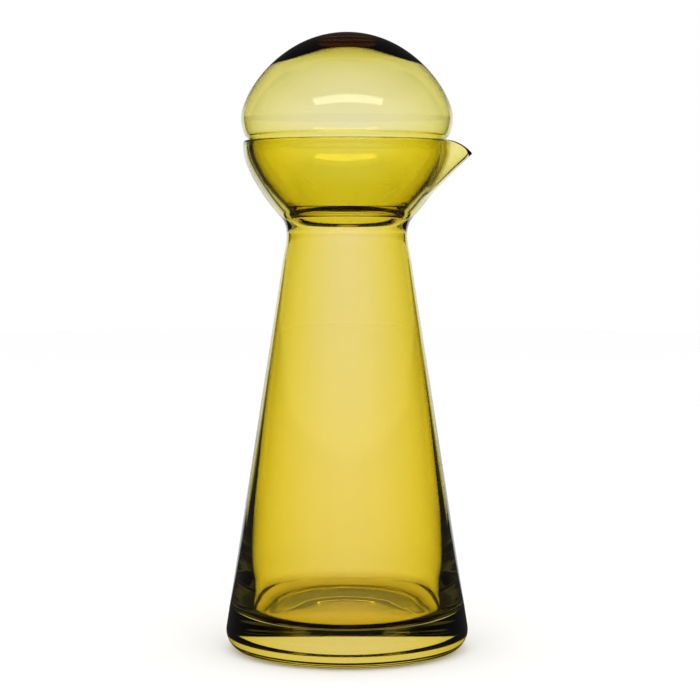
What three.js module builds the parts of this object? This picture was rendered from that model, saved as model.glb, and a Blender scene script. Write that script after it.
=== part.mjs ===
// Glass carafe with a beak spout, and a round tumbler that rests upside down in its bowl as a lid.
// Millimetres, +Z up. The foot stands on Z = 0, the axis is Z and the spout points along +X.
import * as THREE from 'three';

// Carafe: a straight cone on a rounded foot, then the neck, the flare and the bowl
const BODY_HEIGHT = 171;
const BODY_TOP_RADIUS = 28;
const BODY_TILT = THREE.MathUtils.degToRad(8.88);
const FOOT_CORNER_RADIUS = 8.5;
const RECESS_RADIUS = 40;
const RECESS_DEPTH = 2;
const RECESS_FLATNESS = 0.85;
const NECK_RADIUS = 26.4;
const NECK_RISE = 11.5;
const FLARE_SPREAD = 3.6;
const FLARE_RISE = 8.4;
const FLARE_LEAN = THREE.MathUtils.degToRad(43);
const BOWL_RADIUS = 45.3;
const BOWL_RISE = 28.6;
const RIM_BAND = 3.4;
const FLOOR_THICKNESS = 14;
const FLOOR_CORNER_RADIUS = 10;

// Carafe wall thickness, on the body at fractions of its height
const BODY_WALL = [
  { part: 0.13, wall: 9.2 },
  { part: 0.18, wall: 7.8 },
  { part: 0.23, wall: 6.1 },
  { part: 0.33, wall: 4.3 },
  { part: 0.45, wall: 3.2 },
  { part: 0.64, wall: 1.9 },
  { part: 0.85, wall: 1.3 },
];
const NECK_WALL = 1.4;
const FLARE_WALL = 2.9;
const RIM_WALL = 2.2;

// Spout, pulled out of the bowl
const SPOUT_HALF_ANGLE = THREE.MathUtils.degToRad(26);
const SPOUT_ROOT_RISE = 7;
const SPOUT_REACH = 9.8;
const SPOUT_DROP = 5.4;
const SPOUT_RISE_POWER = 1.4;
const SPOUT_SHARPNESS = 1.5;

// Tumbler: the part that nests in the bowl, then the shoulder above the rim and the dome
const LIP_DROP = 0.3;
const LIP_HEIGHT = 4.6;
const LIP_WIDTH = 4;
const SHOULDER_RISE = 1.4;
const SHOULDER_STEP = 1;
const SHOULDER_LEAN = THREE.MathUtils.degToRad(30);
const CREASE_DROP = 1.2;
const DOME_OVERHANG = 0.9;
const DOME_WIDEST_RISE = 8.2;
const DOME_RISE = 37.5;
const DOME_FLATNESS = 0.617;
const DOME_STEEPNESS = 0.293;

// Tumbler wall thickness, on the dome at fractions of its rise
const NEST_WALL = 1.6;
const DOME_WALL = [
  { part: 0, wall: 1.5 },
  { part: 0.6, wall: 1.6 },
  { part: 0.78, wall: 2.3 },
  { part: 0.9, wall: 3 },
  { part: 1, wall: 3.7 },
];

// Clearance between the tumbler and the bowl, even at the seat and wider down at the mouth
const SEAT_GAP = 0.3;
const MOUTH_GAP = 1.6;
const SEAT_RISE = 13;

// How far each curve holds the direction of its ends, as a share of its height or width
const NECK_EASE = 0.435;
const FLARE_EASE = 0.417;
const BOWL_EASE = 0.294;
const FLOOR_EASE = 0.5;
const SHOULDER_EASE = 0.333;
const SHOULDER_START_EASE = 0.167;
const LIP_EASE = 0.25;

// Facets
const CARAFE_FACETS = 64;
const TUMBLER_FACETS = 48;
const SPOUT_CROWDING = 0.5;
const CORNER_STEPS = 4;
const CURVE_STEPS = 4;
const BOWL_STEPS = 7;
const DOME_STEPS = 9;
const SAME_POINT = 0.03;

// Heights above the foot
const NECK_HEIGHT = BODY_HEIGHT + NECK_RISE;
const FLARE_HEIGHT = NECK_HEIGHT + FLARE_RISE;
const BOWL_HEIGHT = FLARE_HEIGHT + BOWL_RISE;
const RIM_HEIGHT = BOWL_HEIGHT + RIM_BAND;
const LIP_BOTTOM = FLARE_HEIGHT - LIP_DROP;
const SHOULDER_HEIGHT = RIM_HEIGHT + SHOULDER_RISE;
const WIDEST_HEIGHT = SHOULDER_HEIGHT + DOME_WIDEST_RISE;
const DOME_RADIUS = BOWL_RADIUS + DOME_OVERHANG;

const CARAFE_WALLS = [
  ...BODY_WALL.map(({ part, wall }) => ({ height: part * BODY_HEIGHT, wall })),
  { height: NECK_HEIGHT, wall: NECK_WALL },
  { height: FLARE_HEIGHT, wall: FLARE_WALL },
  { height: RIM_HEIGHT, wall: RIM_WALL },
];
const TUMBLER_WALLS = [
  { height: RIM_HEIGHT, wall: NEST_WALL },
  ...DOME_WALL.map(({ part, wall }) => ({ height: WIDEST_HEIGHT + part * DOME_RISE, wall })),
];

const UP = new THREE.Vector2(0, 1);
const DOWN = new THREE.Vector2(0, -1);
const OUTWARD = new THREE.Vector2(1, 0);
const INWARD = new THREE.Vector2(-1, 0);

function at(radius, height) {
  return new THREE.Vector2(radius, height);
}

// A direction that leans from straight up towards the outside.
function leaning(angle) {
  return at(Math.sin(angle), Math.cos(angle));
}

// A smooth curve that leaves one point and reaches another along given directions.
function ease(start, leave, leaveReach, end, arrive, arriveReach, steps) {
  const first = start.clone().addScaledVector(leave, leaveReach);
  const second = end.clone().addScaledVector(arrive, -arriveReach);
  return new THREE.CubicBezierCurve(start, first, second, end).getPoints(steps);
}

function arc(centre, radius, fromAngle, toAngle, steps) {
  const { x, y } = centre;
  return new THREE.EllipseCurve(x, y, radius, radius, fromAngle, toAngle).getPoints(steps);
}

// Joins stretches of an outline and drops the points where one ends and the next starts.
function outline(...stretches) {
  const points = [];
  for (const point of stretches.flat()) {
    const last = points.at(-1);
    if (!last || last.distanceTo(point) > SAME_POINT) {
      points.push(point);
    }
  }
  return points;
}

// The wall thickness at a height, on straight lines between the listed heights.
function wallAt(walls, height) {
  const next = walls.findIndex((entry) => entry.height >= height);
  if (next <= 0) {
    return walls.at(next).wall;
  }
  const low = walls[next - 1];
  const high = walls[next];
  return THREE.MathUtils.mapLinear(height, low.height, high.height, low.wall, high.wall);
}

// Moves each point of an upward outline towards the axis, square to the outline.
function inset(points, distanceAt) {
  return points.map((point, index) => {
    const before = points[Math.max(index - 1, 0)];
    const after = points[Math.min(index + 1, points.length - 1)];
    const along = after.clone().sub(before).normalize();
    return point.clone().addScaledVector(at(-along.y, along.x), distanceAt(point.y));
  });
}

function bodyRadius(height) {
  return BODY_TOP_RADIUS + (BODY_HEIGHT - height) * Math.tan(BODY_TILT);
}

function footCorner() {
  const centre = at(
    bodyRadius(FOOT_CORNER_RADIUS) - FOOT_CORNER_RADIUS / Math.cos(BODY_TILT),
    FOOT_CORNER_RADIUS,
  );
  return arc(centre, FOOT_CORNER_RADIUS, -Math.PI / 2, BODY_TILT, CORNER_STEPS);
}

// The outside of the carafe from the floor's level up to the rim's rounding.
function carafeWall() {
  const bodyTop = at(BODY_TOP_RADIUS, BODY_HEIGHT);
  const neck = at(NECK_RADIUS, NECK_HEIGHT);
  const flare = at(NECK_RADIUS + FLARE_SPREAD, FLARE_HEIGHT);
  const bowl = at(BOWL_RADIUS, BOWL_HEIGHT);
  const flareLean = leaning(FLARE_LEAN);
  const neckEase = NECK_RISE * NECK_EASE;
  const flareEase = FLARE_RISE * FLARE_EASE;
  const bowlEase = BOWL_RISE * BOWL_EASE;
  return outline(
    BODY_WALL.map(({ part }) => at(bodyRadius(part * BODY_HEIGHT), part * BODY_HEIGHT)),
    ease(bodyTop, leaning(-BODY_TILT), neckEase, neck, UP, neckEase, CURVE_STEPS),
    ease(neck, UP, flareEase, flare, flareLean, flareEase, CURVE_STEPS),
    ease(flare, flareLean, bowlEase, bowl, UP, bowlEase, BOWL_STEPS),
    [at(BOWL_RADIUS, RIM_HEIGHT - RIM_WALL / 2)],
  );
}

// The inside of the carafe from above the floor's corner up to the rim's rounding.
function carafeHollow() {
  return inset(carafeWall(), (height) => wallAt(CARAFE_WALLS, height));
}

// Pulls the bowl out along +X into a beak whose tip dips below the rim.
function pullSpout(geometry) {
  const position = geometry.getAttribute('position');
  const rootHeight = FLARE_HEIGHT + SPOUT_ROOT_RISE;
  for (let index = 0; index < position.count; index += 1) {
    const height = position.getZ(index);
    const radius = Math.hypot(position.getX(index), position.getY(index));
    const turn = Math.atan2(position.getY(index), position.getX(index));
    const angle = turn - SPOUT_CROWDING * Math.sin(turn);
    const across = THREE.MathUtils.clamp(angle / SPOUT_HALF_ANGLE, -1, 1);
    const up = THREE.MathUtils.clamp((height - rootHeight) / (RIM_HEIGHT - rootHeight), 0, 1);
    const sideways = ((1 + Math.cos(Math.PI * across)) / 2) ** SPOUT_SHARPNESS;
    const pull = sideways * up ** SPOUT_RISE_POWER;
    const reach = radius + SPOUT_REACH * pull;
    const drop = SPOUT_DROP * pull * pull;
    position.setXYZ(index, reach * Math.cos(angle), reach * Math.sin(angle), height - drop);
  }
}

// Turns an outline of radius and height about the Z axis.
function revolve(points, facets) {
  const geometry = new THREE.LatheGeometry(points, facets);
  geometry.rotateX(Math.PI / 2);
  return geometry;
}

function glass(name, geometry, color, opacity) {
  const finish = { color, opacity, transparent: true, roughness: 0.05, metalness: 0 };
  const mesh = new THREE.Mesh(geometry, new THREE.MeshStandardMaterial(finish));
  mesh.name = name;
  return mesh;
}

function carafe() {
  const wall = carafeWall();
  const hollow = carafeHollow();
  const rimCentre = at(BOWL_RADIUS - RIM_WALL / 2, wall.at(-1).y);
  const hollowFoot = hollow[0];
  const floorEdge = at(hollowFoot.x - FLOOR_CORNER_RADIUS, FLOOR_THICKNESS);
  const floorEase = FLOOR_CORNER_RADIUS * FLOOR_EASE;
  const recessTop = at(0, RECESS_DEPTH);
  const recessRim = at(RECESS_RADIUS, 0);
  const recessFlat = RECESS_RADIUS * RECESS_FLATNESS;
  const recessEdge = RECESS_RADIUS - recessFlat;
  const points = outline(
    ease(recessTop, OUTWARD, recessFlat, recessRim, OUTWARD, recessEdge, CURVE_STEPS),
    footCorner(),
    wall,
    arc(rimCentre, RIM_WALL / 2, 0, Math.PI, CURVE_STEPS),
    hollow.toReversed(),
    ease(hollowFoot, DOWN, floorEase, floorEdge, INWARD, floorEase, CORNER_STEPS),
    [at(0, FLOOR_THICKNESS)],
  );
  const geometry = revolve(points, CARAFE_FACETS);
  pullSpout(geometry);
  return glass('carafe', geometry, 0xe6cf66, 0.45);
}

function nestGap(height) {
  const seatHeight = FLARE_HEIGHT + SEAT_RISE;
  const below = THREE.MathUtils.clamp((seatHeight - height) / (seatHeight - LIP_BOTTOM), 0, 1);
  return THREE.MathUtils.lerp(SEAT_GAP, MOUTH_GAP, below);
}

// The outside of the tumbler from its lip, along the bowl, over the shoulder to the top of the dome.
function tumblerWall() {
  const nest = inset(carafeHollow(), nestGap).filter((point) => point.y > FLARE_HEIGHT);
  const nestRadius = nest.at(-1).x;
  const shoulder = at(nestRadius + SHOULDER_STEP, SHOULDER_HEIGHT);
  const widest = at(DOME_RADIUS, WIDEST_HEIGHT);
  const top = at(0, WIDEST_HEIGHT + DOME_RISE);
  const shoulderOut = at(Math.cos(SHOULDER_LEAN), Math.sin(SHOULDER_LEAN));
  const shoulderStart = DOME_WIDEST_RISE * SHOULDER_START_EASE;
  const shoulderEase = DOME_WIDEST_RISE * SHOULDER_EASE;
  const sideEase = DOME_RISE * DOME_STEEPNESS;
  const topEase = DOME_RADIUS * DOME_FLATNESS;
  return outline(
    nest,
    [at(nestRadius, SHOULDER_HEIGHT - CREASE_DROP)],
    ease(shoulder, shoulderOut, shoulderStart, widest, UP, shoulderEase, CURVE_STEPS),
    ease(widest, UP, sideEase, top, INWARD, topEase, DOME_STEPS),
  );
}

function tumbler() {
  const wall = tumblerWall();
  const inside = inset(wall, (height) => wallAt(TUMBLER_WALLS, height));
  inside.at(-1).x = 0;
  const hollow = inside.filter((point) => point.y > LIP_BOTTOM + LIP_HEIGHT);
  const lipOuter = wall[0];
  const lipInner = at(lipOuter.x - LIP_WIDTH, LIP_BOTTOM + LIP_HEIGHT / 2);
  const lipBottom = at((lipOuter.x + lipInner.x) / 2, LIP_BOTTOM);
  const lipEase = LIP_WIDTH * LIP_EASE;
  const points = outline(
    hollow.toReversed(),
    ease(hollow[0], INWARD, lipEase, lipInner, DOWN, lipEase, CORNER_STEPS),
    ease(lipInner, DOWN, lipEase, lipBottom, OUTWARD, lipEase, CORNER_STEPS),
    ease(lipBottom, OUTWARD, lipEase, lipOuter, UP, lipEase, CORNER_STEPS),
    wall,
  );
  return glass('tumbler', revolve(points, TUMBLER_FACETS), 0xece2a1, 0.35);
}

const carafeWithTumbler = new THREE.Group();
carafeWithTumbler.add(carafe(), tumbler());

export default carafeWithTumbler;
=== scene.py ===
import math

import bpy
import numpy as np
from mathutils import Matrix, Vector


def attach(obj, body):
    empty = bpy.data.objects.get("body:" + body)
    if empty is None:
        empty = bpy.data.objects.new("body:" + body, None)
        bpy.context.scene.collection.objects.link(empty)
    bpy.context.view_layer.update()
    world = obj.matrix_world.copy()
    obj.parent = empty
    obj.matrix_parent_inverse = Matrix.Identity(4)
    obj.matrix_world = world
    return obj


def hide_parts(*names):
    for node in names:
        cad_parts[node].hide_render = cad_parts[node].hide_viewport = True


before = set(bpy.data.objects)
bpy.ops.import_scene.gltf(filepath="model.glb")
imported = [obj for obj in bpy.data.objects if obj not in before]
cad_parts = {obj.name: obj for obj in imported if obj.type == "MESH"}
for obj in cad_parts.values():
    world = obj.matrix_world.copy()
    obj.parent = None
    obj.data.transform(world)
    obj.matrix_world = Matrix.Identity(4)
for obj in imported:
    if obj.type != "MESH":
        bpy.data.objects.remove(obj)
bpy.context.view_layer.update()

MM = 0.001

# Carafe, in millimetres: a straight cone on a rounded foot, then the neck, the flare and the bowl
BODY_HEIGHT = 171.0
BODY_TOP_RADIUS = 28.0
BODY_TILT = math.radians(8.88)
FOOT_CORNER_RADIUS = 8.5
RECESS_RADIUS = 40.0
RECESS_DEPTH = 2.0
RECESS_FLATNESS = 0.85
NECK_RADIUS = 26.4
NECK_RISE = 11.5
FLARE_SPREAD = 3.6
FLARE_RISE = 8.4
FLARE_LEAN = math.radians(43)
BOWL_RADIUS = 45.3
BOWL_RISE = 28.6
RIM_BAND = 3.4
FLOOR_THICKNESS = 14.0
FLOOR_CORNER_RADIUS = 10.0

# Carafe wall thickness, on the body at fractions of its height
BODY_WALL = ((0.13, 9.2), (0.18, 7.8), (0.23, 6.1), (0.33, 4.3), (0.45, 3.2), (0.64, 1.9), (0.85, 1.3))
NECK_WALL = 1.4
FLARE_WALL = 2.9
RIM_WALL = 2.2

# Spout, pulled out of the bowl
SPOUT_HALF_ANGLE = math.radians(26)
SPOUT_ROOT_RISE = 7.0
SPOUT_REACH = 9.8
SPOUT_DROP = 5.4
SPOUT_RISE_POWER = 1.4
SPOUT_SHARPNESS = 1.5
SPOUT_CROWDING = 0.5

# Tumbler: the part that nests in the bowl, then the shoulder above the rim and the dome
LIP_DROP = 0.3
LIP_HEIGHT = 4.6
LIP_WIDTH = 4.0
SHOULDER_RISE = 1.4
SHOULDER_STEP = 1.0
SHOULDER_LEAN = math.radians(30)
CREASE_DROP = 1.2
DOME_OVERHANG = 0.9
DOME_WIDEST_RISE = 8.2
DOME_RISE = 37.5
DOME_FLATNESS = 0.617
DOME_STEEPNESS = 0.293
NEST_WALL = 1.6
DOME_WALL = ((0.0, 1.5), (0.6, 1.6), (0.78, 2.3), (0.9, 3.0), (1.0, 3.7))

# Clearance between the tumbler and the bowl
SEAT_GAP = 0.3
MOUTH_GAP = 1.6
SEAT_RISE = 13.0

# How far each curve holds the direction of its ends, as a share of its height or width
NECK_EASE = 0.435
FLARE_EASE = 0.417
BOWL_EASE = 0.294
FLOOR_EASE = 0.5
SHOULDER_EASE = 0.333
SHOULDER_START_EASE = 0.167
LIP_EASE = 0.25

# Fineness of the blown surfaces
CARAFE_SEGMENTS = 224
TUMBLER_SEGMENTS = 192
CORNER_STEPS = 14
CURVE_STEPS = 16
BODY_STEPS = 48
BOWL_STEPS = 32
DOME_STEPS = 48
SAME_POINT = 0.03

# Heights above the foot
NECK_HEIGHT = BODY_HEIGHT + NECK_RISE
FLARE_HEIGHT = NECK_HEIGHT + FLARE_RISE
BOWL_HEIGHT = FLARE_HEIGHT + BOWL_RISE
RIM_HEIGHT = BOWL_HEIGHT + RIM_BAND
LIP_BOTTOM = FLARE_HEIGHT - LIP_DROP
SHOULDER_HEIGHT = RIM_HEIGHT + SHOULDER_RISE
WIDEST_HEIGHT = SHOULDER_HEIGHT + DOME_WIDEST_RISE
TOP_HEIGHT = WIDEST_HEIGHT + DOME_RISE
DOME_RADIUS = BOWL_RADIUS + DOME_OVERHANG

UP = np.array((0.0, 1.0))
OUTWARD = np.array((1.0, 0.0))


def at(radius, height):
    return np.array((radius, height), float)


def leaning(angle):
    """A direction that leans from straight up towards the outside."""
    return at(math.sin(angle), math.cos(angle))


def ease(start, leave, leave_reach, end, arrive, arrive_reach, steps):
    """A smooth curve that leaves one point and reaches another along given directions."""
    first = start + leave * leave_reach
    second = end - arrive * arrive_reach
    t = np.linspace(0, 1, steps + 1)[:, None]
    u = 1 - t
    return u**3 * start + 3 * u * u * t * first + 3 * u * t * t * second + t**3 * end


def arc(centre, radius, from_angle, to_angle, steps):
    turn = np.linspace(from_angle, to_angle, steps + 1)
    return centre + radius * np.stack((np.cos(turn), np.sin(turn)), axis=1)


def outline(*stretches):
    """Joins stretches of an outline and drops the points where one ends and the next starts."""
    points = []
    for point in np.concatenate(stretches):
        if not points or np.linalg.norm(point - points[-1]) > SAME_POINT:
            points.append(point)
    return np.array(points)


def smooth_through(stations):
    """A smooth curve of wall thickness over height through the listed stations."""
    heights, walls = np.array(sorted(stations), float).T
    steps = np.diff(walls) / np.diff(heights)
    slopes = np.zeros(len(walls))
    # A slope between two stations that both rise or both fall; level at every crest and hollow
    steady = np.nonzero(steps[:-1] * steps[1:] > 0)[0]
    slopes[steady + 1] = 2 * steps[steady] * steps[steady + 1] / (steps[steady] + steps[steady + 1])

    def wall_at(height):
        height = np.clip(height, heights[0], heights[-1])
        low = np.clip(np.searchsorted(heights, height) - 1, 0, len(heights) - 2)
        step = heights[low + 1] - heights[low]
        t = (height - heights[low]) / step
        return (
            (1 + 2 * t) * (1 - t) ** 2 * walls[low]
            + t * (1 - t) ** 2 * step * slopes[low]
            + t * t * (3 - 2 * t) * walls[low + 1]
            - t * t * (1 - t) * step * slopes[low + 1]
        )

    return wall_at


def inset(points, distance_at):
    """Moves each point of an upward outline towards the axis, square to the outline."""
    along = np.gradient(points, axis=0)
    along /= np.linalg.norm(along, axis=1)[:, None]
    inward = np.stack((-along[:, 1], along[:, 0]), axis=1)
    return points + inward * distance_at(points[:, 1])[:, None]


carafe_wall_at = smooth_through(
    [(part * BODY_HEIGHT, wall) for part, wall in BODY_WALL]
    + [(NECK_HEIGHT, NECK_WALL), (FLARE_HEIGHT, FLARE_WALL), (RIM_HEIGHT, RIM_WALL)]
)
tumbler_wall_at = smooth_through(
    [(FLARE_HEIGHT, NEST_WALL), (RIM_HEIGHT, NEST_WALL)]
    + [(WIDEST_HEIGHT + part * DOME_RISE, wall) for part, wall in DOME_WALL]
)


def body_radius(height):
    return BODY_TOP_RADIUS + (BODY_HEIGHT - height) * math.tan(BODY_TILT)


def foot_corner():
    centre = at(
        body_radius(FOOT_CORNER_RADIUS) - FOOT_CORNER_RADIUS / math.cos(BODY_TILT),
        FOOT_CORNER_RADIUS,
    )
    return arc(centre, FOOT_CORNER_RADIUS, -math.pi / 2, BODY_TILT, CORNER_STEPS)


def carafe_outside():
    """The outside of the carafe from the floor's level up to the rim's rounding."""
    heights = np.linspace(BODY_WALL[0][0] * BODY_HEIGHT, BODY_HEIGHT, BODY_STEPS)
    body_top = at(BODY_TOP_RADIUS, BODY_HEIGHT)
    neck = at(NECK_RADIUS, NECK_HEIGHT)
    flare = at(NECK_RADIUS + FLARE_SPREAD, FLARE_HEIGHT)
    bowl = at(BOWL_RADIUS, BOWL_HEIGHT)
    neck_ease = NECK_RISE * NECK_EASE
    flare_ease = FLARE_RISE * FLARE_EASE
    bowl_ease = BOWL_RISE * BOWL_EASE
    return outline(
        np.stack((body_radius(heights), heights), axis=1),
        ease(body_top, leaning(-BODY_TILT), neck_ease, neck, UP, neck_ease, CURVE_STEPS),
        ease(neck, UP, flare_ease, flare, leaning(FLARE_LEAN), flare_ease, CURVE_STEPS),
        ease(flare, leaning(FLARE_LEAN), bowl_ease, bowl, UP, bowl_ease, BOWL_STEPS),
        [at(BOWL_RADIUS, RIM_HEIGHT - RIM_WALL / 2)],
    )


def carafe_inside():
    return inset(carafe_outside(), carafe_wall_at)


def carafe_outline():
    wall = carafe_outside()
    hollow = carafe_inside()
    rim_centre = at(BOWL_RADIUS - RIM_WALL / 2, wall[-1][1])
    floor_edge = at(hollow[0][0] - FLOOR_CORNER_RADIUS, FLOOR_THICKNESS)
    floor_ease = FLOOR_CORNER_RADIUS * FLOOR_EASE
    recess_flat = RECESS_RADIUS * RECESS_FLATNESS
    recess_edge = RECESS_RADIUS - recess_flat
    recess_top = at(0, RECESS_DEPTH)
    recess_rim = at(RECESS_RADIUS, 0)
    return outline(
        ease(recess_top, OUTWARD, recess_flat, recess_rim, OUTWARD, recess_edge, CURVE_STEPS),
        foot_corner(),
        wall,
        arc(rim_centre, RIM_WALL / 2, 0, math.pi, CORNER_STEPS),
        hollow[::-1],
        ease(hollow[0], -UP, floor_ease, floor_edge, -OUTWARD, floor_ease, CORNER_STEPS),
        [at(0, FLOOR_THICKNESS)],
    )


def nest_gap(height):
    seat_height = FLARE_HEIGHT + SEAT_RISE
    below = np.clip((seat_height - height) / (seat_height - LIP_BOTTOM), 0, 1)
    return SEAT_GAP + (MOUTH_GAP - SEAT_GAP) * below


def tumbler_outside():
    """The outside of the tumbler from its lip, along the bowl, over the shoulder to the dome's top."""
    nest = inset(carafe_inside(), nest_gap)
    nest = nest[nest[:, 1] > FLARE_HEIGHT]
    nest_radius = nest[-1][0]
    shoulder = at(nest_radius + SHOULDER_STEP, SHOULDER_HEIGHT)
    widest = at(DOME_RADIUS, WIDEST_HEIGHT)
    shoulder_out = at(math.cos(SHOULDER_LEAN), math.sin(SHOULDER_LEAN))
    shoulder_start = DOME_WIDEST_RISE * SHOULDER_START_EASE
    shoulder_ease = DOME_WIDEST_RISE * SHOULDER_EASE
    side_ease = DOME_RISE * DOME_STEEPNESS
    top_ease = DOME_RADIUS * DOME_FLATNESS
    return outline(
        nest,
        [at(nest_radius, SHOULDER_HEIGHT - CREASE_DROP)],
        ease(shoulder, shoulder_out, shoulder_start, widest, UP, shoulder_ease, CURVE_STEPS),
        ease(widest, UP, side_ease, at(0, TOP_HEIGHT), -OUTWARD, top_ease, DOME_STEPS),
    )


def tumbler_outline():
    wall = tumbler_outside()
    inside = inset(wall, tumbler_wall_at)
    inside[-1][0] = 0
    hollow = inside[inside[:, 1] > LIP_BOTTOM + LIP_HEIGHT]
    lip_outer = wall[0]
    lip_inner = at(lip_outer[0] - LIP_WIDTH, LIP_BOTTOM + LIP_HEIGHT / 2)
    lip_bottom = at((lip_outer[0] + lip_inner[0]) / 2, LIP_BOTTOM)
    lip_ease = LIP_WIDTH * LIP_EASE
    return outline(
        hollow[::-1],
        ease(hollow[0], -OUTWARD, lip_ease, lip_inner, -UP, lip_ease, CORNER_STEPS),
        ease(lip_inner, -UP, lip_ease, lip_bottom, OUTWARD, lip_ease, CORNER_STEPS),
        ease(lip_bottom, OUTWARD, lip_ease, lip_outer, UP, lip_ease, CORNER_STEPS),
        wall,
    )


def pull_spout(radius, turn, height):
    """Pulls the bowl out along +X into a beak whose tip dips below the rim."""
    root_height = FLARE_HEIGHT + SPOUT_ROOT_RISE
    across = np.clip(turn / SPOUT_HALF_ANGLE, -1, 1)
    up = np.clip((height - root_height) / (RIM_HEIGHT - root_height), 0, 1)
    sideways = ((1 + np.cos(np.pi * across)) / 2) ** SPOUT_SHARPNESS
    pull = sideways * up**SPOUT_RISE_POWER
    return radius + SPOUT_REACH * pull, height - SPOUT_DROP * pull * pull


def blown_piece(name, points, segments, spout=False):
    """Turns a closed outline about the Z axis into one smooth skin."""
    turn = np.linspace(-np.pi, np.pi, segments, endpoint=False)
    if spout:
        turn = turn - SPOUT_CROWDING * np.sin(turn)
    verts = []
    rings = []
    for radius, height in points:
        start = len(verts)
        if radius < SAME_POINT:
            verts.append((0, 0, height * MM))
            rings.append([start] * segments)
            continue
        reach, level = (radius, height) if not spout else pull_spout(radius, turn, height)
        spread = np.broadcast_arrays(reach * np.cos(turn), reach * np.sin(turn), level)
        ring = np.stack(spread, axis=1)
        verts.extend(map(tuple, ring * MM))
        rings.append(list(range(start, start + segments)))
    faces = []
    for low, high in zip(rings, rings[1:]):
        for k in range(segments):
            n = (k + 1) % segments
            corners = dict.fromkeys((low[k], low[n], high[n], high[k]))
            faces.append(tuple(corners))
    mesh = bpy.data.meshes.new(name)
    mesh.from_pydata(verts, [], faces)
    mesh.shade_smooth()
    piece = bpy.data.objects.new(name, mesh)
    bpy.context.scene.collection.objects.link(piece)
    return piece


def fill(tree, socket, value):
    """Links a socket to another one, or sets its own value."""
    if isinstance(value, bpy.types.NodeSocket):
        tree.links.new(value, socket)
    else:
        socket.default_value = value


def add(tree, kind, inputs=None, **settings):
    node = tree.nodes.new(kind)
    for key, value in settings.items():
        setattr(node, key, value)
    for key, value in (inputs or {}).items():
        fill(tree, node.inputs[key], value)
    return node


def calc(tree, operation, *values):
    node = add(tree, "ShaderNodeMath", dict(enumerate(values)), operation=operation)
    return node.outputs[0]


def ramp(tree, value, start, end, low=0.0, high=1.0):
    """Goes smoothly from low to high as the value goes from start to end."""
    inputs = {"Value": value, "From Min": start, "From Max": end, "To Min": low, "To Max": high}
    node = add(tree, "ShaderNodeMapRange", inputs, interpolation_type="SMOOTHSTEP")
    return node.outputs["Result"]


def blend(tree, amount, first, second, mode="MIX"):
    node = add(tree, "ShaderNodeMix", data_type="RGBA", blend_type=mode)
    # The colour sockets of a Mix node are its seventh and eighth inputs
    for place, value in ((0, amount), (6, first), (7, second)):
        fill(tree, node.inputs[place], value)
    return node.outputs[2]


# Heights in metres over which the depth of colour changes
BASE_TO_BODY = (0.012, 0.024)
BODY_TO_NECK = (0.03, 0.18)
NECK_TO_BOWL = (0.186, 0.196)
BOWL_TO_DOME = (0.221, 0.227)

# Marks of blowing: cords and ripples drawn out upwards, worn patches, and seeds
DRAWN_OUT = (1.0, 1.0, 0.22)
CORD_NOISE = {"Scale": 55.0, "Detail": 3.0, "Roughness": 0.55, "Distortion": 0.6}
RIPPLE_NOISE = {"Detail": 1.5, "Roughness": 0.4}
WORN_NOISE = {"Scale": 38.0, "Detail": 4.0}
WORN_FROM = 0.55
WORN_TO = 0.8
WORN_ROUGHNESS = 0.012
SEED_EDGE = (0.012, 0.03)
SEED_DEPTH = 0.12


def noise(tree, place, values):
    return add(tree, "ShaderNodeTexNoise", {"Vector": place, **values}).outputs["Fac"]


def grey(tree, value):
    return add(tree, "ShaderNodeCombineColor", {0: value, 1: value, 2: value}).outputs[0]


def blown_glass_group():
    """Depth of colour, faint cords, ripples and seeds of hand-blown glass."""
    group = bpy.data.node_groups.new("blown_glass", "ShaderNodeTree")
    for name, kind in (
        ("Base Tint", "NodeSocketColor"),
        ("Body Tint", "NodeSocketColor"),
        ("Neck Tint", "NodeSocketColor"),
        ("Bowl Tint", "NodeSocketColor"),
        ("Dome Tint", "NodeSocketColor"),
        ("Cord Strength", "NodeSocketFloat"),
        ("Ripple Size", "NodeSocketFloat"),
        ("Seed Spacing", "NodeSocketFloat"),
    ):
        group.interface.new_socket(name, in_out="INPUT", socket_type=kind)
    for name, kind in (
        ("Tint", "NodeSocketColor"),
        ("Roughness", "NodeSocketFloat"),
        ("Height", "NodeSocketFloat"),
    ):
        group.interface.new_socket(name, in_out="OUTPUT", socket_type=kind)
    given = add(group, "NodeGroupInput").outputs
    result = add(group, "NodeGroupOutput").inputs
    place = add(group, "ShaderNodeTexCoord").outputs["Object"]
    level = add(group, "ShaderNodeSeparateXYZ", {0: place}).outputs["Z"]
    tint = blend(group, ramp(group, level, *BASE_TO_BODY), given["Base Tint"], given["Body Tint"])
    tint = blend(group, ramp(group, level, *BODY_TO_NECK), tint, given["Neck Tint"])
    tint = blend(group, ramp(group, level, *NECK_TO_BOWL), tint, given["Bowl Tint"])
    tint = blend(group, ramp(group, level, *BOWL_TO_DOME), tint, given["Dome Tint"])
    drawn_out = add(group, "ShaderNodeMapping", {"Vector": place, "Scale": DRAWN_OUT}).outputs[0]
    cords = noise(group, drawn_out, CORD_NOISE)
    centred = calc(group, "SUBTRACT", cords, 0.5)
    cord_shade = calc(group, "MULTIPLY_ADD", centred, given["Cord Strength"], 1.0)
    fill(group, result["Tint"], blend(group, 1.0, tint, grey(group, cord_shade), "MULTIPLY"))
    worn = noise(group, place, WORN_NOISE)
    fill(group, result["Roughness"], ramp(group, worn, WORN_FROM, WORN_TO, 0.0, WORN_ROUGHNESS))
    ripples = noise(group, drawn_out, {"Scale": given["Ripple Size"], **RIPPLE_NOISE})
    seeds = add(group, "ShaderNodeTexVoronoi", {"Vector": place, "Scale": given["Seed Spacing"]})
    dots = ramp(group, seeds.outputs["Distance"], *SEED_EDGE, -SEED_DEPTH, 0.0)
    fill(group, result["Height"], calc(group, "ADD", ripples, dots))
    return group


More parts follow.
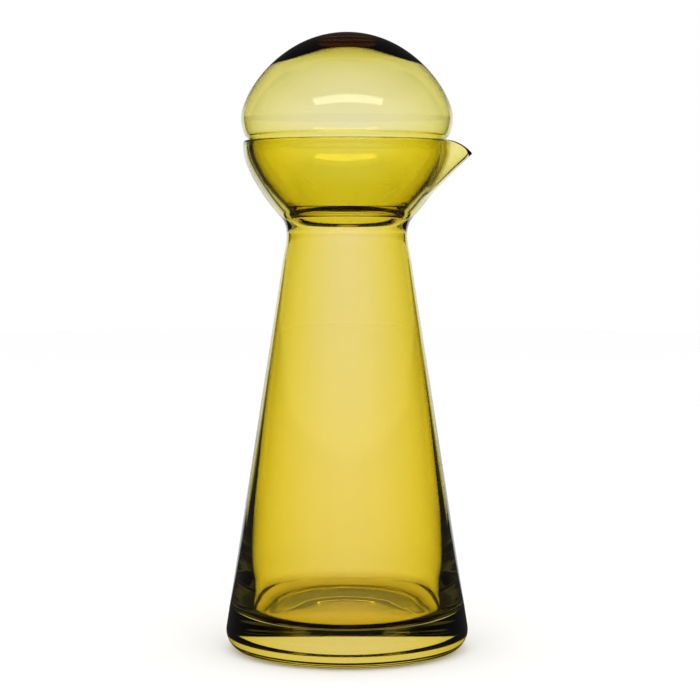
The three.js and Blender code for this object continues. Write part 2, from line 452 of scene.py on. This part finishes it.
# Glass: how strongly the wall colours light per metre, and how much of the painted edge shade stays above its
# height
COLOUR_DENSITY = 280.0
PALE_SLANT_SHADE = 0.2
GLASS_IOR = 1.5
BUMP_STRENGTH = 0.12
BUMP_DISTANCE = 0.001


def glass_material(name, group, values, slant_shade_depth, slant_shade_heights, inner_colour=None):
    """Clear tinted glass, darker where its wall is seen at a slant, less so above a height: partly the longer
    path through the coloured glass and partly painted shade for the dark edges.
    """
    material = bpy.data.materials.new(name)
    material.use_nodes = True
    tree = material.node_tree
    shader = tree.nodes["Principled BSDF"]
    surface = add(tree, "ShaderNodeGroup", node_tree=group)
    for key, value in values.items():
        fill(tree, surface.inputs[key], value)
    place = add(tree, "ShaderNodeTexCoord").outputs["Object"]
    level = add(tree, "ShaderNodeSeparateXYZ", {0: place}).outputs["Z"]
    # Painted shade: the colour darkens towards the glass's edges as the wall turns away from the view
    slant = add(tree, "ShaderNodeLayerWeight", {"Blend": 0.5}).outputs["Facing"]
    slant = calc(tree, "MULTIPLY", slant, ramp(tree, level, *slant_shade_heights, 1.0, PALE_SLANT_SHADE))
    shaded_depth = {k: calc(tree, "POWER", depth, slant) for k, depth in enumerate(slant_shade_depth)}
    slant_shade = add(tree, "ShaderNodeCombineColor", shaded_depth).outputs[0]
    tint = blend(tree, 1.0, surface.outputs["Tint"], slant_shade, "MULTIPLY")
    bump = add(tree, "ShaderNodeBump", {"Strength": BUMP_STRENGTH, "Distance": BUMP_DISTANCE})
    fill(tree, bump.inputs["Height"], surface.outputs["Height"])
    fill(tree, shader.inputs["Base Color"], tint)
    fill(tree, shader.inputs["Roughness"], surface.outputs["Roughness"])
    fill(tree, shader.inputs["Normal"], bump.outputs["Normal"])
    shader.inputs["Transmission Weight"].default_value = 1.0
    shader.inputs["Metallic"].default_value = 0.0
    shader.inputs["IOR"].default_value = GLASS_IOR
    if inner_colour:
        absorbing = {"Color": inner_colour, "Density": COLOUR_DENSITY}
        inside = add(tree, "ShaderNodeVolumeAbsorption", absorbing)
        fill(tree, tree.nodes["Material Output"].inputs["Volume"], inside.outputs[0])
    return material


# How the studio looks through the glass: white all round. Rays turned back inside a wall see the floor,
# the low surroundings and the ceiling dark, except for a lit panel behind the glass, and keep little
# light after more turns. Heights in the room are sines of the angle above the horizon.
PANEL_BRIGHT = math.radians(25)
PANEL_DARK = math.radians(33)
DARK_TOP = 0.055
DARK_CLEAR = 0.085
DARKEST = 0.01
CEILING_START = 0.5
CEILING_DARK = 0.75
CEILING_LEVEL = 0.05
ROOM_LEVEL = 1.0
REFLECTED_ROOM = 0.04
MIRROR_TOP = 0.05
MIRROR_CLEAR = 0.25
MOST_TURNS = 2.5
ROOM_LEFT = 0.05
FLOOR_LEFT = 0.35


def turned_back(tree, path):
    """One for a ray that was reflected inside the glass before it left it."""
    reflected = calc(tree, "GREATER_THAN", path["Glossy Depth"], 0.5)
    return calc(tree, "MULTIPLY", path["Is Transmission Ray"], reflected)


def light_left(tree, path, least):
    """How much is left of a ray's light after its turns inside the glass."""
    few_turns = calc(tree, "LESS_THAN", path["Glossy Depth"], MOST_TURNS)
    return choose(tree, few_turns, least, 1.0)


def mirrored_off(tree, path):
    """One for a ray that is reflected off the outside of the glass."""
    outside = calc(tree, "SUBTRACT", path["Is Glossy Ray"], path["Is Transmission Ray"])
    return calc(tree, "MAXIMUM", outside, 0.0)


def panel_behind(tree, x, y):
    """Brightness of the panel behind the glass in a direction round the axis."""
    aside = calc(tree, "ABSOLUTE", calc(tree, "ARCTAN2", x, y))
    return ramp(tree, aside, PANEL_BRIGHT, PANEL_DARK, 1.0, DARKEST)


def choose(tree, amount, otherwise, value):
    """The value where the amount is one, the other where it is zero."""
    return calc(tree, "MULTIPLY_ADD", amount, calc(tree, "SUBTRACT", value, otherwise), otherwise)


def studio_world():
    world = bpy.data.worlds.new("studio")
    bpy.context.scene.world = world
    world.use_nodes = True
    tree = world.node_tree
    background = tree.nodes["Background"]
    direction = add(tree, "ShaderNodeTexCoord").outputs["Generated"]
    x, y, z = add(tree, "ShaderNodeSeparateXYZ", {0: direction}).outputs
    path = add(tree, "ShaderNodeLightPath").outputs
    panel = panel_behind(tree, x, y)
    low_sides = calc(tree, "MAXIMUM", panel, ramp(tree, z, DARK_TOP, DARK_CLEAR, DARKEST, 1.0))
    ceiling = ramp(tree, z, CEILING_START, CEILING_DARK, 1.0, CEILING_LEVEL)
    low_sides = calc(tree, "MULTIPLY", low_sides, ceiling)
    low_sides = calc(tree, "MULTIPLY", low_sides, light_left(tree, path, ROOM_LEFT))
    through = choose(tree, turned_back(tree, path), ROOM_LEVEL, low_sides)
    panel_top = ramp(tree, z, MIRROR_TOP, MIRROR_CLEAR, 1.0, REFLECTED_ROOM)
    mirrored = calc(tree, "MAXIMUM", calc(tree, "MINIMUM", panel, panel_top), REFLECTED_ROOM)
    # Light that falls on the floor and the plain view of the backdrop stay white
    from_glass = calc(tree, "LESS_THAN", path["Diffuse Depth"], 0.5)
    seen_through = calc(tree, "MULTIPLY", from_glass, path["Is Transmission Ray"])
    seen_mirrored = calc(tree, "MULTIPLY", from_glass, mirrored_off(tree, path))
    strength = choose(tree, seen_through, 1.0, through)
    strength = choose(tree, seen_mirrored, strength, mirrored)
    background.inputs["Color"].default_value = (1, 1, 1, 1)
    fill(tree, background.inputs["Strength"], strength)


# Floor, in metres: white, lit a little more where it is seen plainly, with a painted pool of light under the
# base of the glass and painted shade near the glass and aside from the panel for rays seen through or off the
# glass
FLOOR_RADIUS = 3.0
FLOOR_SIDES = 96
FLOOR_DROP = 0.0002
FLOOR_ALBEDO = 0.86
FLOOR_LIFT = 0.12
UNDER_BASE = (0.040, 0.046)
BASE_GLOW = 0.5
FLOOR_NEAR = 0.20
FLOOR_FAR = 0.30


def studio_floor():
    turn = np.linspace(0, 2 * math.pi, FLOOR_SIDES, endpoint=False)
    verts = [(FLOOR_RADIUS * math.cos(a), FLOOR_RADIUS * math.sin(a), -FLOOR_DROP) for a in turn]
    mesh = bpy.data.meshes.new("floor")
    mesh.from_pydata(verts, [], [tuple(range(len(verts)))])
    floor = bpy.data.objects.new("floor", mesh)
    bpy.context.scene.collection.objects.link(floor)
    material = bpy.data.materials.new("floor_white")
    material.use_nodes = True
    tree = material.node_tree
    tree.nodes.remove(tree.nodes["Principled BSDF"])
    place = add(tree, "ShaderNodeTexCoord").outputs["Object"]
    x, y = add(tree, "ShaderNodeSeparateXYZ", {0: place}).outputs[:2]
    path = add(tree, "ShaderNodeLightPath").outputs
    measure = add(tree, "ShaderNodeVectorMath", {0: place}, operation="LENGTH")
    distance = measure.outputs["Value"]
    # Painted shade: to rays turned back inside the glass the floor is dark near the glass and aside from the
    # panel behind it, and darker after many turns
    far = ramp(tree, distance, FLOOR_NEAR, FLOOR_FAR, DARKEST, 1.0)
    behind = panel_behind(tree, x, y)
    panel = calc(tree, "MINIMUM", behind, far)
    panel = calc(tree, "MULTIPLY", panel, light_left(tree, path, FLOOR_LEFT))
    panel = calc(tree, "MULTIPLY", panel, FLOOR_ALBEDO)
    white = choose(tree, turned_back(tree, path), FLOOR_ALBEDO, panel)
    # Painted shade: in reflections off the glass the floor is dim except behind the panel
    mirrored = calc(tree, "MAXIMUM", calc(tree, "MULTIPLY", behind, FLOOR_ALBEDO), REFLECTED_ROOM)
    white = choose(tree, mirrored_off(tree, path), white, mirrored)
    paint = add(tree, "ShaderNodeBsdfDiffuse", {"Color": grey(tree, white)})
    seen = calc(tree, "SUBTRACT", path["Is Transmission Ray"], turned_back(tree, path))
    seen = calc(tree, "MAXIMUM", path["Is Camera Ray"], seen)
    # Painted light: a glowing pool on the floor under the base, seen through the glass
    under = ramp(tree, distance, *UNDER_BASE, BASE_GLOW, 0.0)
    painted_base_pool = calc(tree, "MULTIPLY", path["Is Transmission Ray"], under)
    glow = calc(tree, "MULTIPLY", seen, calc(tree, "ADD", FLOOR_LIFT, painted_base_pool))
    lift = add(tree, "ShaderNodeEmission", {"Strength": glow})
    both = add(tree, "ShaderNodeAddShader", {0: paint.outputs[0], 1: lift.outputs[0]})
    fill(tree, tree.nodes["Material Output"].inputs["Surface"], both.outputs[0])
    mesh.materials.append(material)


def aim(thing, target):
    thing.rotation_euler = (Vector(target) - thing.location).to_track_quat("-Z", "Y").to_euler()


def strip_lamp(name, place, target, width, height, power):
    light = bpy.data.lights.new(name, "AREA")
    light.shape = "RECTANGLE"
    light.size = width
    light.size_y = height
    light.energy = power
    lamp = bpy.data.objects.new(name, light)
    bpy.context.scene.collection.objects.link(lamp)
    lamp.location = place
    aim(lamp, target)


# Camera, in metres: level with the neck, in front of the carafe
CAMERA_PLACE = (0, -0.920, 0.184)
CAMERA_TARGET = (0.0013, 0, 0.1315)
CAMERA_LENS = 108
CAMERA_SENSOR = 36

# Lamp, in metres and watts: a wide strip above the camera
STRIP_PLACE = (0.03, -0.95, 1.10)
STRIP_TARGET = (0, 0, 0.24)
STRIP_WIDTH = 1.7
STRIP_HEIGHT = 0.34
STRIP_POWER = 5.5


def camera():
    data = bpy.data.cameras.new("camera")
    data.sensor_width = CAMERA_SENSOR
    data.lens = CAMERA_LENS
    eye = bpy.data.objects.new("camera", data)
    bpy.context.scene.collection.objects.link(eye)
    eye.location = CAMERA_PLACE
    aim(eye, CAMERA_TARGET)
    bpy.context.scene.camera = eye


camera()
studio_world()
studio_floor()
strip_lamp("front_strip", STRIP_PLACE, STRIP_TARGET, STRIP_WIDTH, STRIP_HEIGHT, STRIP_POWER)

CLEAR = (1.0, 1.0, 1.0, 1)
CARAFE_LOOK = {
    "Base Tint": (0.76, 0.60, 0.15, 1),
    "Body Tint": (0.955, 0.835, 0.351, 1),
    "Neck Tint": (0.960, 0.868, 0.487, 1),
    "Bowl Tint": (1.0, 0.95, 0.62, 1),
    "Dome Tint": (1.0, 0.95, 0.62, 1),
    "Cord Strength": 0.04,
    "Ripple Size": 26.0,
    "Seed Spacing": 28.0,
}
# Painted shade at the carafe's slanted walls: the colour reached at its edges
CARAFE_SLANT_SHADE = (0.85, 0.78, 0.052)
TUMBLER_LOOK = {
    "Base Tint": CLEAR,
    "Body Tint": CLEAR,
    "Neck Tint": CLEAR,
    "Bowl Tint": (1.0, 1.0, 0.70, 1),
    "Dome Tint": CLEAR,
    "Cord Strength": 0.03,
    "Ripple Size": 30.0,
    "Seed Spacing": 26.0,
}
# Painted shade at the tumbler's slanted walls: the colour reached at its edges
TUMBLER_SLANT_SHADE = (0.88, 0.80, 0.03)
TUMBLER_DEPTH_COLOUR = (0.88, 0.80, 0.064, 1)
MOST_BOUNCES = 28
MOST_REFLECTIONS = 12

blown_glass = blown_glass_group()
carafe_glass = glass_material("carafe_glass", blown_glass, CARAFE_LOOK, CARAFE_SLANT_SHADE, NECK_TO_BOWL)
tumbler_glass = glass_material(
    "tumbler_glass", blown_glass, TUMBLER_LOOK, TUMBLER_SLANT_SHADE, BOWL_TO_DOME, TUMBLER_DEPTH_COLOUR
)
carafe = blown_piece("carafe_skin", carafe_outline(), CARAFE_SEGMENTS, spout=True)
carafe.data.materials.append(carafe_glass)
tumbler = blown_piece("tumbler_skin", tumbler_outline(), TUMBLER_SEGMENTS)
tumbler.data.materials.append(tumbler_glass)
for piece, node, slot in ((carafe, "carafe", "carafe_glass"), (tumbler, "tumbler", "tumbler_glass")):
    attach(piece, node)
    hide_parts(node)

settings = bpy.context.scene.cycles
settings.max_bounces = MOST_BOUNCES
settings.transmission_bounces = MOST_BOUNCES
settings.glossy_bounces = MOST_REFLECTIONS
bpy.context.scene.view_settings.view_transform = "Standard"
